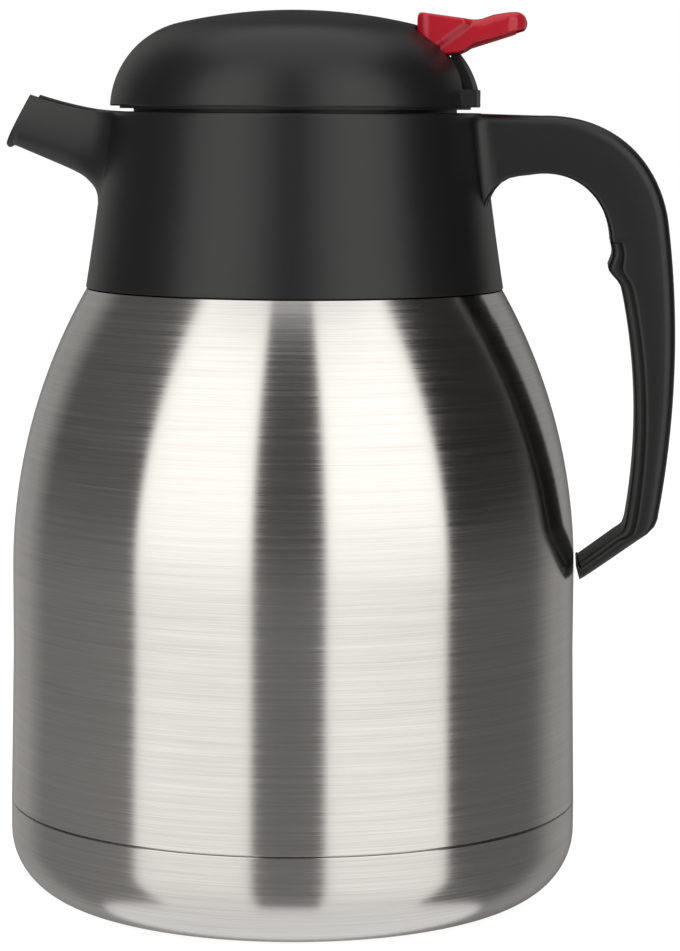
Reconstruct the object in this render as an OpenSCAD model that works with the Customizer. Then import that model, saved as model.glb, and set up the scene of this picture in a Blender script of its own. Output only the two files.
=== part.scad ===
// Double-walled steel jug with a moulded collar, a C-shaped handle, a screwed
// domed lid and a thumb lever that lifts a pouring valve.
// Frame: Z is the axis of the bottle, the base stands on z = 0,
// the spout points to -X and the handle to +X. Millimetres.

/* [Bottle] */
// Outer diameter of the steel body
body_d = 140; // [130:1:150]
// Height of the seam between base cover and body
seam_z = 23.7; // [22:0.1:30]
// Height at which the straight side turns into the shoulder
shoulder_z = 81.6; // [74:0.2:84]
// Radius of the shoulder's long arc
shoulder_r = 140; // [130:1:150]
// Sheet thickness of the steel pieces
steel_t = 0.6; // [0.5:0.1:0.8]
// Width of the vacuum gap between the two walls
vacuum_gap = 5.4; // [4.6:0.1:6]
// How much wider the body is at the seam than higher up, on the radius
seam_flare = 0.7; // [0:0.1:1.2]
// Corner radius of the base cover
base_corner_r = 16.5; // [10:0.5:18]
// Outer diameter of the steel neck
neck_d = 68; // [66:0.5:70]
// Height of the steel mouth above the base
mouth_z = 180; // [178:0.5:182]
// Height of the underside of the liner
liner_floor_z = 20; // [19:0.5:23]

/* [Collar] */
// Height of the collar's lower edge
collar_bottom_z = 151.5; // [150:0.5:154]
// Height of the collar's top edge
collar_top_z = 194.6; // [192:0.2:196]
// How far the lower edge stands out from the steel, on the radius
collar_proud = 0.4; // [0.2:0.1:1]
// Outer radius at the top edge
collar_top_r = 46; // [45.6:0.1:47]
// Radius of the collar's hollow side
collar_side_r = 750; // [500:10:2000]
// Wall of the moulded collar
collar_wall = 2.4; // [2:0.1:3]
// How deep the steel steps in under the collar
collar_step = 1.6; // [1.2:0.1:2]
// Radius of the throat that the lid enters
throat_r = 40.3; // [39.6:0.1:41]

/* [Spout] */
// Distance from the axis to the lip at the foot of the mouth
spout_reach = 71.6; // [66:0.2:76]
// Height of the lip at the foot of the mouth
spout_lip_z = 186.6; // [185:0.2:189]
// Height of the mouth's upper corners
spout_top_z = 198.7; // [196:0.1:201]
// Width of the mouth across its upper corners
spout_mouth_w = 17; // [14:0.5:22]
// Width of the spout where it leaves the collar
spout_root_w = 27; // [24:0.5:32]
// Wall of the spout
spout_wall = 2; // [1.6:0.1:2.4]

/* [Handle] */
// Distance from the axis to the back of the grip
handle_reach = 93.9; // [90:0.1:100]
// Width of the handle across the grip
handle_w = 24; // [20:0.5:28]
// Depth of the grip, from its back to the finger side
grip_depth = 9.5; // [9:0.1:13]
// Height of the handle's lower corner at the back
handle_corner_z = 94.4; // [88:0.2:98]
// How far the finger rib stands out of the channel
rib_out = 2.3; // [1.6:0.1:2.6]
// Wall of the handle channel
handle_wall = 2.2; // [1.8:0.1:2.4]
// How far the finger stop stands out of the rib
finger_stop = 2.2; // [1:0.1:3]

/* [Lid] */
// Radius of the domed lid at its rim
dome_r = 45.65; // [45.4:0.05:46.4]
// Height of the top of the dome
dome_top_z = 219.6; // [219.4:0.1:224]
// Height of the dome's rim
dome_rim_z = 196; // [195.8:0.1:196.4]
// Radius of the dome's rounded edge
dome_edge_r = 21.9; // [21:0.1:23]
// Wall of the dome
dome_wall = 2.2; // [1.8:0.1:2.4]
// Wall of the stopper
plug_wall = 2.6; // [2:0.1:3]
// Rise of the screw thread in one turn
thread_lead = 8; // [7:0.5:9]

/* [Lever and valve] */
// Width of the lever's front block
lever_w = 32; // [28:0.5:32.4]
// Width of the thumb paddle
paddle_w = 28; // [24:0.5:28.6]
// Distance from the axis to the end of the thumb paddle
lever_reach = 56.8; // [54:0.2:62]
// Distance of the lever's pin from the axis
pivot_x = 32; // [31:0.2:33]
// Height of the lever's pin
pivot_z = 206.2; // [205.8:0.1:206.6]
// Diameter of the lever's pin
pin_d = 3; // [2.6:0.1:3.4]
// Diameter of the valve stem
stem_d = 6; // [5:0.2:6.4]
// Radius of the valve's opening
valve_r = 15; // [13:0.5:16]
// Wire of the valve spring
spring_wire = 1; // [0.8:0.1:1.2]
// Mean radius of the valve spring
spring_r = 8; // [7.4:0.2:9]
// Turns of the valve spring
spring_turns = 6; // [5:1:8]

/* [Hidden] */
$fn = 96;
eps = 0.01;

// Clearances: soft pieces from their seats, guided pieces, running pin, and seams
seat_gap = 0.2;
guide_gap = 0.15;
running_gap = 0.05;
seam_gap = 0.25;
part_gap = 0.3;

// Screw thread
thread_w = 1.4;
thread_h = 1.25;
thread_gap = 0.45;
thread_starts = 2;
thread_turn = 0.75;

// Bottle
body_r = body_d / 2;
arc_x = body_r - shoulder_r;
neck_r = neck_d / 2;
neck_ir = neck_r - 2.8;
liner_off = steel_t + vacuum_gap;
shoulder_end_z = mouth_z - 8;
sleeve_gap = 0.15;
sleeve_r = body_r + seam_flare - steel_t - sleeve_gap;
sleeve_z = base_corner_r - 1.5;
lip_t = 0.6;
bottom_rim_h = 4;
getter_r = 5;
getter_t = 1.6;
tip_off_r = 4;
tip_off_t = 2;
// Radius of the steel shoulder's outside at a height
function shoulder_at(z) = arc_x + sqrt(pow(shoulder_r, 2) - pow(z - shoulder_z, 2));

// Collar and ring
collar_bottom_r = shoulder_at(collar_bottom_z) + collar_proud;
collar_lip_r = shoulder_at(collar_bottom_z) - collar_step + part_gap;
ledge_top_z = mouth_z - 3.4;
ledge_t = 2.4;
ring_top_z = mouth_z - 0.2;
ring_flange_t = 2;
chamber_r = collar_top_r - 3;
ring_hub_r = neck_r + (chamber_r - neck_r) / 3;
rib_r = 41;
rib_t = 2;
lid_lip_z = collar_top_z - 5;

// Stopper
plug_r = neck_ir - thread_h - thread_gap;
plug_top_r = throat_r - 0.45;
flange_z = collar_top_z + 0.8;
flange_t = 2;
deck_z = flange_z - 6.1;
deck_t = 2.2;
plug_bottom_z = mouth_z - 16;
gasket_t = 2;
seal_flange_t = 1.8;
seal_flange_z = mouth_z + seat_gap + gasket_t;
seal_flange_r = neck_r - 0.2;
windows = 6;

// Valve, from the bottom up
seat_t = 2.5;
seat_top_z = plug_bottom_z + seat_t;
seal_t = 1.5;
seal_z = seat_top_z + seat_gap;
disc_z = seal_z + seal_t;
disc_t = 2;
disc_r = valve_r + 3.5;
hub_r = valve_r - 4.5;
boss_r = 7;
boss_drop = 1.5;
boss_top_z = 196;
arm_r = 1.8;
tip_drop = 3;
tip_z = pivot_z - pivot_x * sin(tip_drop);
cap_z = tip_z + arm_r + part_gap;
cap_t = 2.2;
cap_r = 8;
stem_r = stem_d / 2;
stem_bottom_z = seal_z + 0.3;
stem_top_z = cap_z + cap_t - 0.6;

// Lever
lever_front_x = 30.5;
lever_top_z = dome_top_z - 0.7;
vee_x = 44.5;
vee_z = lever_top_z - 1.9;
skin = 2;
cheek_in = 4;
cheek_out = 7.5;
post_in = 9;
post_out = 12;
hinge_hub_r = 3.2;
fork_in = stem_r + 0.6;
fork_out = fork_in + 2.8;
web_w = 16;
sill_z = 200.3;

// ---------------------------------------------------------------- helpers
// Closed solid through rings of points that all have the same even count. Each end
// is closed by a strip across the ring, so a ring needn't be flat.
module loft(rings) {
    n = len(rings[0]);
    top = (len(rings) - 1) * n;
    pts = [for (r = rings) each r];
    sides = [for (i = [0:len(rings) - 2], j = [0:n - 1])
        each [[i * n + j, i * n + (j + 1) % n, (i + 1) * n + j],
            [i * n + (j + 1) % n, (i + 1) * n + (j + 1) % n, (i + 1) * n + j]]];
    low = [for (k = [0:n / 2 - 2]) each [[n - 1 - k, n - 2 - k, k + 1], [n - 1 - k, k + 1, k]]];
    high = [for (k = [0:n / 2 - 2]) each [[top + k, top + k + 1, top + n - 2 - k],
        [top + k, top + n - 2 - k, top + n - 1 - k]]];
    polyhedron(points = pts, faces = concat(sides, low, high), convexity = 10);
}

function bezier(a, b, c, d, t) =
    pow(1 - t, 3) * a + 3 * pow(1 - t, 2) * t * b + 3 * (1 - t) * t * t * c + pow(t, 3) * d;

// Half-profile of the bottle: a slightly flared side that runs into the shoulder arc
module bottle_profile(off, low, high) {
    r = body_r - off;
    flare_top = shoulder_z - 20;
    flare = seam_flare * (flare_top - low) / (flare_top - seam_z);
    polygon([[0, low], [r + flare, low], [r, flare_top], [0, flare_top]]);
    translate([0, flare_top - eps]) square([r, shoulder_z - flare_top + 2 * eps]);
    intersection() {
        translate([arc_x, shoulder_z]) circle(shoulder_r - off, $fn = 360);
        translate([0, shoulder_z]) square([body_r, high - shoulder_z]);
    }
}

// Half-profile with a rounded lower outer corner
module rounded_foot(r, corner, low, high) {
    difference() {
        translate([0, low]) square([r, high - low]);
        difference() {
            translate([r - corner, low - 1]) square([corner + 1, corner + 1]);
            translate([r - corner, low + corner]) circle(corner);
        }
    }
}

// One ring of a swept bar: from point a (outer) to point b (inner) in the XZ plane,
// half-width w, with the outer corners rounded by ra and the inner ones by rb
function bar_ring(a, b, w, ra, rb, n = 3) =
    let (t = norm(b - a), u = (b - a) / t,
        corners = [[ra, -w + ra, ra, 180], [t - rb, -w + rb, rb, 270],
            [t - rb, w - rb, rb, 0], [ra, w - ra, ra, 90]])
    [for (c = corners, i = [0:n])
        let (g = c[3] + 90 * i / n, p = c[0] + c[2] * cos(g), v = c[1] + c[2] * sin(g))
        [a[0] + u[0] * p, v, a[1] + u[1] * p]];

// ---------------------------------------------------------------- bottle
module outer_shell() {
    low = seam_z + seam_gap;
    inner_low = seam_z + 2;
    step_z = collar_bottom_z - part_gap;
    color("silver") rotate_extrude() difference() {
        union() {
            bottle_profile(0, low, step_z);
            bottle_profile(collar_step, low, shoulder_end_z);
            translate([0, sleeve_z]) square([sleeve_r, inner_low + 2 - sleeve_z]);
            translate([0, shoulder_z]) square([neck_r, mouth_z - shoulder_z]);
        }
        bottle_profile(steel_t, inner_low, step_z - steel_t);
        bottle_profile(steel_t + collar_step, inner_low, shoulder_end_z - steel_t);
        translate([0, sleeve_z - 1]) square([sleeve_r - steel_t, inner_low + 4 - sleeve_z]);
        translate([0, shoulder_z]) square([neck_r - steel_t, mouth_z]);
    }
}

module liner_profile(off) {
    r = body_r - liner_off - off;
    corner = base_corner_r - off;
    rounded_foot(r, corner, liner_floor_z + off, shoulder_z);
    translate([0, shoulder_z - eps]) intersection() {
        translate([arc_x, eps]) circle(shoulder_r - liner_off - off, $fn = 360);
        square([body_r, mouth_z - 4 - shoulder_z]);
    }
    translate([0, shoulder_z]) square([neck_ir + steel_t - off, mouth_z + off - shoulder_z]);
}

module inner_liner() {
    color("silver") {
        rotate_extrude() {
            difference() {
                liner_profile(0);
                liner_profile(steel_t);
            }
            translate([neck_ir, mouth_z - lip_t]) square([neck_r - steel_t - neck_ir, lip_t]);
        }
        thread(neck_ir + steel_t / 2, neck_ir - thread_h, mouth_z - 9);
    }
}

module vacuum_bottom() {
    color("silver") rotate_extrude() {
        translate([0, sleeve_z]) square([sleeve_r - steel_t, steel_t]);
        translate([sleeve_r - 2 * steel_t, sleeve_z]) square([steel_t, bottom_rim_h]);
    }
}

module getter() {
    color("dimgray") translate([0, 0, liner_floor_z - getter_t]) cylinder(r = getter_r, h = getter_t);
}

module vacuum_seal() {
    color("gray") translate([0, 0, sleeve_z - tip_off_t]) cylinder(r = tip_off_r, h = tip_off_t);
}

module base_cover() {
    color("silver") rotate_extrude() difference() {
        rounded_foot(body_r + seam_flare, base_corner_r, 0, seam_z);
        rounded_foot(body_r + seam_flare - steel_t, base_corner_r - steel_t, steel_t, seam_z + 1);
    }
}

// Two-start screw ridge between a root and a crest radius
module thread(root, crest, z0) {
    steps = 27;
    half = thread_w / 2;
    for (s = [0:thread_starts - 1])
        loft([for (i = [0:steps])
            let (g = 360 * (s / thread_starts + thread_turn * i / steps),
                z = z0 + thread_lead * thread_turn * i / steps, w = root < crest ? 1 : -1)
            [for (p = [[root, -half * 1.4 * w], [crest, -half * w], [crest, half * w], [root, half * 1.4 * w]])
                [p[0] * cos(g), p[0] * sin(g), z + p[1]]]]);
}

// ---------------------------------------------------------------- collar surface
collar_h = collar_top_z - collar_bottom_z;
collar_lean = collar_bottom_r - collar_top_r;
collar_chord = norm([collar_h, collar_lean]);
collar_mid = [(collar_bottom_r + collar_top_r) / 2, (collar_bottom_z + collar_top_z) / 2];
collar_away = sqrt(pow(collar_side_r, 2) - pow(collar_chord / 2, 2));
collar_centre = collar_mid + collar_away * [collar_h, collar_lean] / collar_chord;
// Radius of the collar's outside at a height, and how far it falls back beside the middle
function collar_at(z) = collar_centre[0] - sqrt(pow(collar_side_r, 2) - pow(z - collar_centre[1], 2));
function fall_back(z, y) = let (r = collar_at(z)) r - sqrt(r * r - y * y);

// ---------------------------------------------------------------- handle outlines
grip_mid_z = 137;
grip_curve = 470;
finger_mid_z = 119;
finger_curve = 300;
finger_x = handle_reach - grip_depth;
bend_z = 167.5;
finger_bend_z = 163.5;
arm_end = [71.4, 80.7];
arm_inner_end = [70.4, 84.3];
inner_corner_z = handle_corner_z - 1.4;
stop_z = 157;

// Back of the grip and finger side of the rib, as a function of height
function back_x(z) = handle_reach - pow(z - grip_mid_z, 2) / grip_curve;
function finger_line_x(z) = finger_x - pow(z - finger_mid_z, 2) / finger_curve;
function finger_side_x(z) = finger_line_x(z) - finger_stop * exp(-pow((z - stop_z) / 2.6, 2));

// Where the handle leaves the collar: outer point, inner point, half-width over the grip's
root_spread = [1.4, 5.4, 2.4, 0.7, 0, 0];
root_wrap = [1, 1, 0.7, 0.3, 0, 0];
root_outer = [for (x = [-0.65, -0.5, 0.9, 2.6, 5, 9])
    [collar_top_r + x, collar_top_z - 0.1 - 0.03 * max(x, 0)]];
root_inner = [[47.2, 168.2], [47.9, 168.4], [48.7, 172.6], [49.9, 176], [51.9, 178.3], [54.8, 179.4]];
bend_out = [[60.3, collar_top_z - 0.5], [81.5, collar_top_z + 0.2],
    [handle_reach - 3.4, bend_z + 12.4], [back_x(bend_z), bend_z]];
bend_in = [[58, 179.8], [70.6, 182.1], [finger_line_x(finger_bend_z) - 0.4, finger_bend_z + 9.2],
    [finger_line_x(finger_bend_z), finger_bend_z]];
bend_steps = 12;
grip_steps = 22;
grip_outer_end = handle_corner_z + 2;

function outer_line() = concat(root_outer,
    [for (i = [0:bend_steps]) bezier(bend_out[0], bend_out[1], bend_out[2], bend_out[3], i / bend_steps)],
    [for (i = [1:grip_steps]) let (z = bend_z + (grip_outer_end - bend_z) * i / grip_steps) [back_x(z), z]],
    [[back_x(handle_corner_z) - 0.6, handle_corner_z - 0.4], [back_x(handle_corner_z) - 2.2, handle_corner_z - 2.2]],
    [for (i = [1:3]) let (a = [back_x(handle_corner_z) - 2.2, handle_corner_z - 2.2]) a + (arm_end - a) * i / 3]);

function inner_line(off) = let (corner = [finger_line_x(inner_corner_z), inner_corner_z],
        down = [0.25 * off, -0.4 * off])
    concat([for (p = root_inner) p + [0.4 * off, 0.9 * off]],
    [for (i = [0:bend_steps])
        let (g = 90 - 86 * i / bend_steps)
        bezier(bend_in[0], bend_in[1], bend_in[2], bend_in[3], i / bend_steps) + off * [cos(g), sin(g)]],
    [for (i = [1:grip_steps])
        let (z = finger_bend_z + (inner_corner_z + 1.5 - finger_bend_z) * i / grip_steps,
            x = off > 0 ? 0.65 * finger_side_x(z) + 0.35 * finger_line_x(z) : finger_side_x(z))
        [x + off, z]],
    [corner + [-0.2, 0.2] + [off, -0.3 * off], corner + [-0.9, -0.7] + [0.6 * off, -0.5 * off]],
    [for (i = [1:3]) let (a = corner + [-0.9, -0.7]) a + (arm_inner_end - a) * i / 3 + down]);

stations = len(outer_line());
cover_from = len(root_outer) + bend_steps;
function spread(i) = i < len(root_spread) ? root_spread[i] : 0;
function between(p, i, part) = p[i] + part * (p[i + 1] - p[i]);
// Stations of the handle and of its cover along a line; the channel starts and ends in a step
function handle_line(p) = concat([for (i = [0:cover_from]) p[i]], [between(p, cover_from, 0.06)],
    [for (i = [cover_from + 1:stations - 2]) p[i]],
    [between(p, stations - 2, 0.74), between(p, stations - 2, 0.8), p[stations - 1]]);
function cover_line(p) = concat([between(p, cover_from, 0.16)],
    [for (i = [cover_from + 1:stations - 2]) p[i]], [between(p, stations - 2, 0.7)]);

// One ring of the channel: rounded outside, open towards the fingers down to the floor
function channel_section(a, b, w, inner, floor, n = 3) =
    let (t = norm(b - a), u = (b - a) / t, lip = min(handle_wall, t / 2), edge = min(2, 0.42 * t),
        depth = floor > t ? t - 0.4 : min(floor, t - 1),
        corners = [[t - lip, -w + lip, lip, 360], [edge, -w + edge, edge, 270],
            [edge, w - edge, edge, 180], [t - lip, w - lip, lip, 90]],
        flat = concat([[depth, -inner]], [for (c = corners, i = [0:n])
            let (g = c[3] - 90 * i / n) [c[0] + c[2] * cos(g), c[1] + c[2] * sin(g)]],
            [[depth, inner]]))
    [for (q = flat) [a[0] + u[0] * q[0], q[1], a[1] + u[1] * q[0]]];

module handle() {
    a = handle_line(outer_line());
    full = handle_line(inner_line(0));
    open = handle_line(inner_line(rib_out));
    last = len(a) - 2;
    color("#1c1c1e") loft([for (i = [0:len(a) - 1])
        let (solid = i <= cover_from || i >= last, wrap = i < len(root_wrap) ? root_wrap[i] : 0,
            ring = channel_section(a[i], solid ? full[i] : open[i], handle_w / 2 + spread(i),
                handle_w / 2 - handle_wall, solid ? 1000 : handle_wall))
        [for (p = ring) [p[0] - wrap * fall_back(p[2], p[1]), p[1], p[2]]]]);
}

module handle_cover() {
    a = cover_line(outer_line());
    k = cover_line(inner_line(rib_out));
    b = cover_line(inner_line(0));
    tongue = 0.75;
    half = handle_w / 2 - handle_wall - guide_gap;
    color("#1c1c1e") loft([for (i = [0:len(a) - 1])
        let (u = (k[i] - a[i]) / norm(k[i] - a[i]))
        bar_ring(k[i] - tongue * u, b[i], half, 0.3, min(1.6, norm(b[i] - k[i]) - 0.2))]);
}

// ---------------------------------------------------------------- spout
mouth_run = 7;
bead = 1.1;
spout_fall = 0.41;
root_end = collar_top_r + 4.5;
root_drop_z = 173.5;
root_drop = 4.5;
root_run = 1.7;
root_lean = collar_at(root_drop_z) - collar_top_r;
// Heights at a distance from the axis: the rim, the floor's slope and the underside
function rim_z(d) = let (low = collar_top_r - 1.5, high = spout_reach - mouth_run)
    collar_top_z - 0.1 + (spout_top_z - collar_top_z) * pow(max(min(d, high) - low, 0) / (high - low), 1.6);
function slope_z(d) = spout_lip_z - spout_fall * (spout_reach - 0.8 - d);
function under_z(d) = slope_z(d) - root_drop * exp(-(d - collar_top_r - root_lean) / root_run)
    - bead * exp(-pow((d - spout_reach + 0.5) / 0.8, 2));
function spout_half(d) = spout_mouth_w / 2
    + (spout_root_w - spout_mouth_w) / 2 * (spout_reach - d) / (spout_reach - collar_top_r)
    + 3 * exp(-max(d - collar_top_r, 0) / 2.2);

// Point of a U-shaped section at angle g, from one rim over the bottom to the other
function trough_point(half, top, low, g) =
    [half * sign(cos(g)) * pow(abs(cos(g)), 0.75), top - (top - low) * pow(abs(sin(g)), 0.8)];
// Section of the trough at distance d: outside from rim to rim, then back along the
// inside. Near the collar it lies on the collar's surface, at the mouth it slants.
function trough_ring(d) = let (n = 14, out = spout_half(d), in = out - spout_wall,
        wrap = max(0, min(1, (root_end - d) / (root_end - collar_top_r - 0.2))),
        slant = max(0, d - root_end) / (spout_reach - root_end),
        top = rim_z(d - slant * mouth_run),
        low = under_z(d + wrap * root_lean),
        floor = slope_z(d + wrap * root_lean) + spout_wall,
        outside = [for (i = [0:n]) trough_point(out, top - 1, low, 180 * i / n)],
        inside = [for (i = [n:-1:0]) trough_point(in, top, floor, 180 * i / n)])
    [for (q = concat(outside, inside))
        let (surface = sqrt(pow(collar_at(min(q[1], collar_top_z)), 2) - q[0] * q[0]))
        [slant * mouth_run * (q[1] - low) / (top - low) - d - wrap * (surface - collar_top_r), q[0], q[1]]];

module spout() {
    root = [for (x = [-1.2, 0.2, 1.2, 2.4]) collar_top_r + x];
    reach = [for (i = [0:10]) root_end + (spout_reach - root_end) * (1 - pow(1 - i / 10, 1.6))];
    color("#1c1c1e") loft([for (d = concat(root, reach)) trough_ring(d)]);
}

// ---------------------------------------------------------------- collar
// Hollow-sided outer profile
module collar_outer() {
    difference() {
        translate([0, collar_bottom_z]) square([collar_bottom_r, collar_h]);
        translate(collar_centre) circle(collar_side_r, $fn = 720);
    }
}

module collar() {
    window = spout_root_w / 2 - spout_wall - 0.6;
    color("#1c1c1e") difference() {
        rotate_extrude() {
            difference() {
                collar_outer();
                translate([-collar_wall, 0]) collar_outer();
                polygon([[0, collar_bottom_z - 1], [collar_lip_r, collar_bottom_z - 1], [collar_lip_r, collar_bottom_z],
                    [collar_lip_r - 2.3, collar_bottom_z + 4], [0, collar_bottom_z + 4]]);
            }
            throat_wall();
        }
        translate([-collar_top_r - 6, -window, mouth_z + window + 1]) cube([12, 2 * window, 30]);
        translate([-collar_top_r - 6, 0, mouth_z + window + 1]) rotate([0, 90, 0]) cylinder(r = window, h = 12);
    }
}

// Wall around the throat, ledge under the ring and locating rib
module throat_wall() {
    wall_r = collar_top_r - 0.3;
    ledge_z = ledge_top_z - ledge_t;
    rib_z = shoulder_z + sqrt(pow(shoulder_r, 2) - pow(rib_r - rib_t / 2 - arc_x, 2)) + part_gap;
    translate([chamber_r, ledge_z]) square([wall_r - chamber_r, collar_top_z - ledge_z]);
    translate([throat_r, lid_lip_z]) square([wall_r - throat_r, collar_top_z - lid_lip_z]);
    translate([ring_hub_r + 0.4, ledge_z]) square([collar_top_r + 1 - ring_hub_r - 0.4, ledge_t]);
    translate([rib_r - rib_t / 2, rib_z]) square([rib_t, ledge_z - rib_z + eps]);
}

module throat_ring() {
    color("#2a2a2c") rotate_extrude() {
        translate([neck_r + guide_gap, ledge_top_z - ledge_t])
            square([ring_hub_r - neck_r - guide_gap, ring_top_z - ledge_top_z + ledge_t]);
        translate([neck_r + guide_gap, ring_top_z - ring_flange_t])
            square([chamber_r - guide_gap - neck_r - guide_gap, ring_flange_t]);
    }
}

module neck_seal() {
    color("whitesmoke") rotate_extrude() translate([ring_hub_r + guide_gap, ledge_top_z])
        square([chamber_r - ring_hub_r - 2 * guide_gap, ring_top_z - ring_flange_t - ledge_top_z]);
}

// ---------------------------------------------------------------- lid
dome_mid_z = dome_rim_z - 1;
edge_x = dome_r - dome_edge_r;
dome_rise = dome_top_z - dome_mid_z;
cap_arc_r = (pow(edge_x, 2) + pow(dome_rise, 2) - pow(dome_edge_r, 2)) / (2 * (dome_rise - dome_edge_r));
cap_arc_z = dome_top_z - cap_arc_r;
join_r = edge_x * cap_arc_r / (cap_arc_r - dome_edge_r);

// Half-profile of the dome, set in by off, from height low
module dome_profile(off, low) {
    intersection() {
        union() {
            intersection() {
                translate([0, cap_arc_z]) circle(cap_arc_r - off, $fn = 720);
                translate([0, dome_mid_z]) square([join_r, dome_rise]);
            }
            intersection() {
                translate([edge_x, dome_mid_z]) circle(dome_edge_r - off, $fn = 180);
                translate([join_r - eps, dome_mid_z]) square([dome_r, dome_rise]);
            }
            translate([0, dome_mid_z - 10]) square([dome_r - off, 10 + eps]);
        }
        translate([0, low]) square([dome_r + 1, dome_rise + 20]);
    }
}

tab_x = dome_r - 0.5;
tab_w = 38;
module lid_dome() {
    color("#1c1c1e") difference() {
        union() {
            rotate_extrude() difference() {
                dome_profile(0, dome_rim_z);
                dome_profile(dome_wall, dome_rim_z - 1);
            }
            difference() {
                translate([dome_r - 9, -tab_w / 2, dome_rim_z + 0.2]) cube([tab_x - dome_r + 9, tab_w, sill_z - dome_rim_z - 0.2]);
                translate([0, 0, dome_rim_z - 1]) cylinder(r = dome_r - dome_wall, h = 10);
            }
        }
        lever_opening();
        for (s = [-1, 1]) scale([1, s, 1]) side_slot();
    }
}

module lever_opening() {
    half = lever_w / 2 + part_gap + 0.1;
    front = lever_front_x - 0.6;
    translate([0, 0, dome_rim_z + 8]) linear_extrude(40) {
        translate([front + 3, -half]) square([38.5 - front - 3, 2 * half]);
        translate([front, -half + 3]) square([10, 2 * half - 6]);
        for (s = [-1, 1]) translate([front + 3, s * (half - 3)]) circle(3, $fn = 48);
    }
}

module side_slot() {
    translate([36, 0, 0]) rotate([90, 0, 90]) linear_extrude(20)
        polygon([[web_w / 2 + 0.8, sill_z], [17, sill_z], [paddle_w / 2 + 0.7, sill_z + 7.7],
            [paddle_w / 2 + 0.7, dome_top_z], [web_w / 2 - 0.4, dome_top_z]]);
}

module stopper_body() {
    plug_ir = plug_r - plug_wall;
    color("#2a2a2c") difference() {
        union() {
            rotate_extrude() {
                // deck, ring that closes the throat, flange under the dome
                translate([0, deck_z]) square([plug_top_r, deck_t]);
                translate([plug_top_r - 2.4, deck_z]) square([2.4, flange_z + flange_t - deck_z]);
                translate([plug_top_r - 2.4, flange_z]) square([dome_r - dome_wall - seat_gap - plug_top_r + 2.4, flange_t]);
                // lower plug and its sealing flange
                translate([plug_ir, plug_bottom_z]) square([plug_wall, deck_z - plug_bottom_z + eps]);
                translate([plug_ir, seal_flange_z]) square([seal_flange_r - plug_ir, seal_flange_t]);
                // boss that guides the stem
                translate([0, deck_z - boss_drop]) square([boss_r, boss_top_z - deck_z + boss_drop]);
            }
            thread(plug_r - 0.3, plug_r + thread_h, mouth_z - 9 - thread_lead / thread_starts / 2);
            for (s = [-1, 1]) scale([1, s, 1]) hinge_post();
        }
        translate([0, 0, deck_z - boss_drop - 1]) cylinder(r = stem_r + running_gap, h = boss_top_z - deck_z + boss_drop + 2);
        translate([0, 0, boss_top_z - 2.4]) cylinder(r = stem_r + 1.8, h = 3);
        for (i = [0:windows - 1]) rotate([0, 0, (i + 0.5) * 360 / windows])
            translate([plug_ir - 2, -7.5, seal_flange_z + seal_flange_t])
                cube([plug_wall + 4, 15, deck_z - seal_flange_z - seal_flange_t - 0.3]);
    }
}

module hinge_post() {
    difference() {
        union() {
            translate([pivot_x - 3.5, post_in, deck_z + deck_t - eps]) cube([7, post_out - post_in, pivot_z - deck_z - deck_t]);
            translate([pivot_x, post_in, pivot_z]) rotate([-90, 0, 0]) cylinder(r = 3.5, h = post_out - post_in);
        }
        translate([pivot_x, post_in - 1, pivot_z]) rotate([-90, 0, 0]) cylinder(r = pin_d / 2, h = 9, $fn = 48);
    }
}

module stopper_gasket() {
    color("whitesmoke") rotate_extrude() translate([plug_r + guide_gap, mouth_z + seat_gap])
        square([seal_flange_r - plug_r - guide_gap, gasket_t]);
}

module valve_seat() {
    color("#2a2a2c") rotate_extrude() translate([valve_r, plug_bottom_z])
        square([plug_r - plug_wall - valve_r, seat_t]);
}

module valve_disc() {
    color("#2a2a2c") difference() {
        union() {
            translate([0, 0, disc_z]) cylinder(r = disc_r, h = disc_t);
            translate([0, 0, seal_z]) cylinder(r = hub_r, h = seal_t + eps);
            translate([0, 0, disc_z]) cylinder(r = spring_r - spring_wire - 0.6, h = disc_t + 2.5);
        }
        translate([0, 0, seal_z - 1]) cylinder(r = stem_r, h = 20);
    }
}

module valve_seal() {
    color("whitesmoke") rotate_extrude() translate([hub_r + guide_gap, seal_z])
        square([disc_r - hub_r - guide_gap, seal_t]);
}

module valve_stem() {
    color("silver") translate([0, 0, stem_bottom_z]) cylinder(r = stem_r, h = stem_top_z - stem_bottom_z);
}

module stem_cap() {
    color("#2a2a2c") difference() {
        union() {
            translate([0, 0, cap_z]) cylinder(r = cap_r, h = cap_t - 0.5);
            translate([0, 0, cap_z + cap_t - 0.5 - eps]) cylinder(r1 = cap_r, r2 = cap_r - 0.5, h = 0.5);
        }
        translate([0, 0, cap_z - 1]) cylinder(r = stem_r, h = stem_top_z - cap_z + 1);
    }
}

module stem_seal() {
    color("whitesmoke") rotate_extrude() translate([stem_r + 0.9, boss_top_z - 1.5]) circle(0.85, $fn = 32);
}

// Coil from the valve disc up to the boss, as one unbroken wire
spring_low_z = disc_z + disc_t + spring_wire / 2 + 0.05;
spring_high_z = deck_z - boss_drop - spring_wire / 2 - 0.05;
spring_rise = spring_high_z - spring_low_z;
coil_steps = 20;
function coil_z(t) = spring_low_z + spring_rise * t;

module valve_spring() {
    total = spring_turns * coil_steps;
    color("silver") loft([for (i = [0:total]) let (g = 360 * i / coil_steps, z = coil_z(i / total))
        [for (j = [0:5]) let (q = 60 * j, r = spring_r + spring_wire / 2 * cos(q))
            [r * cos(g), -r * sin(g), z + spring_wire / 2 * sin(q)]]]);
}

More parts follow.
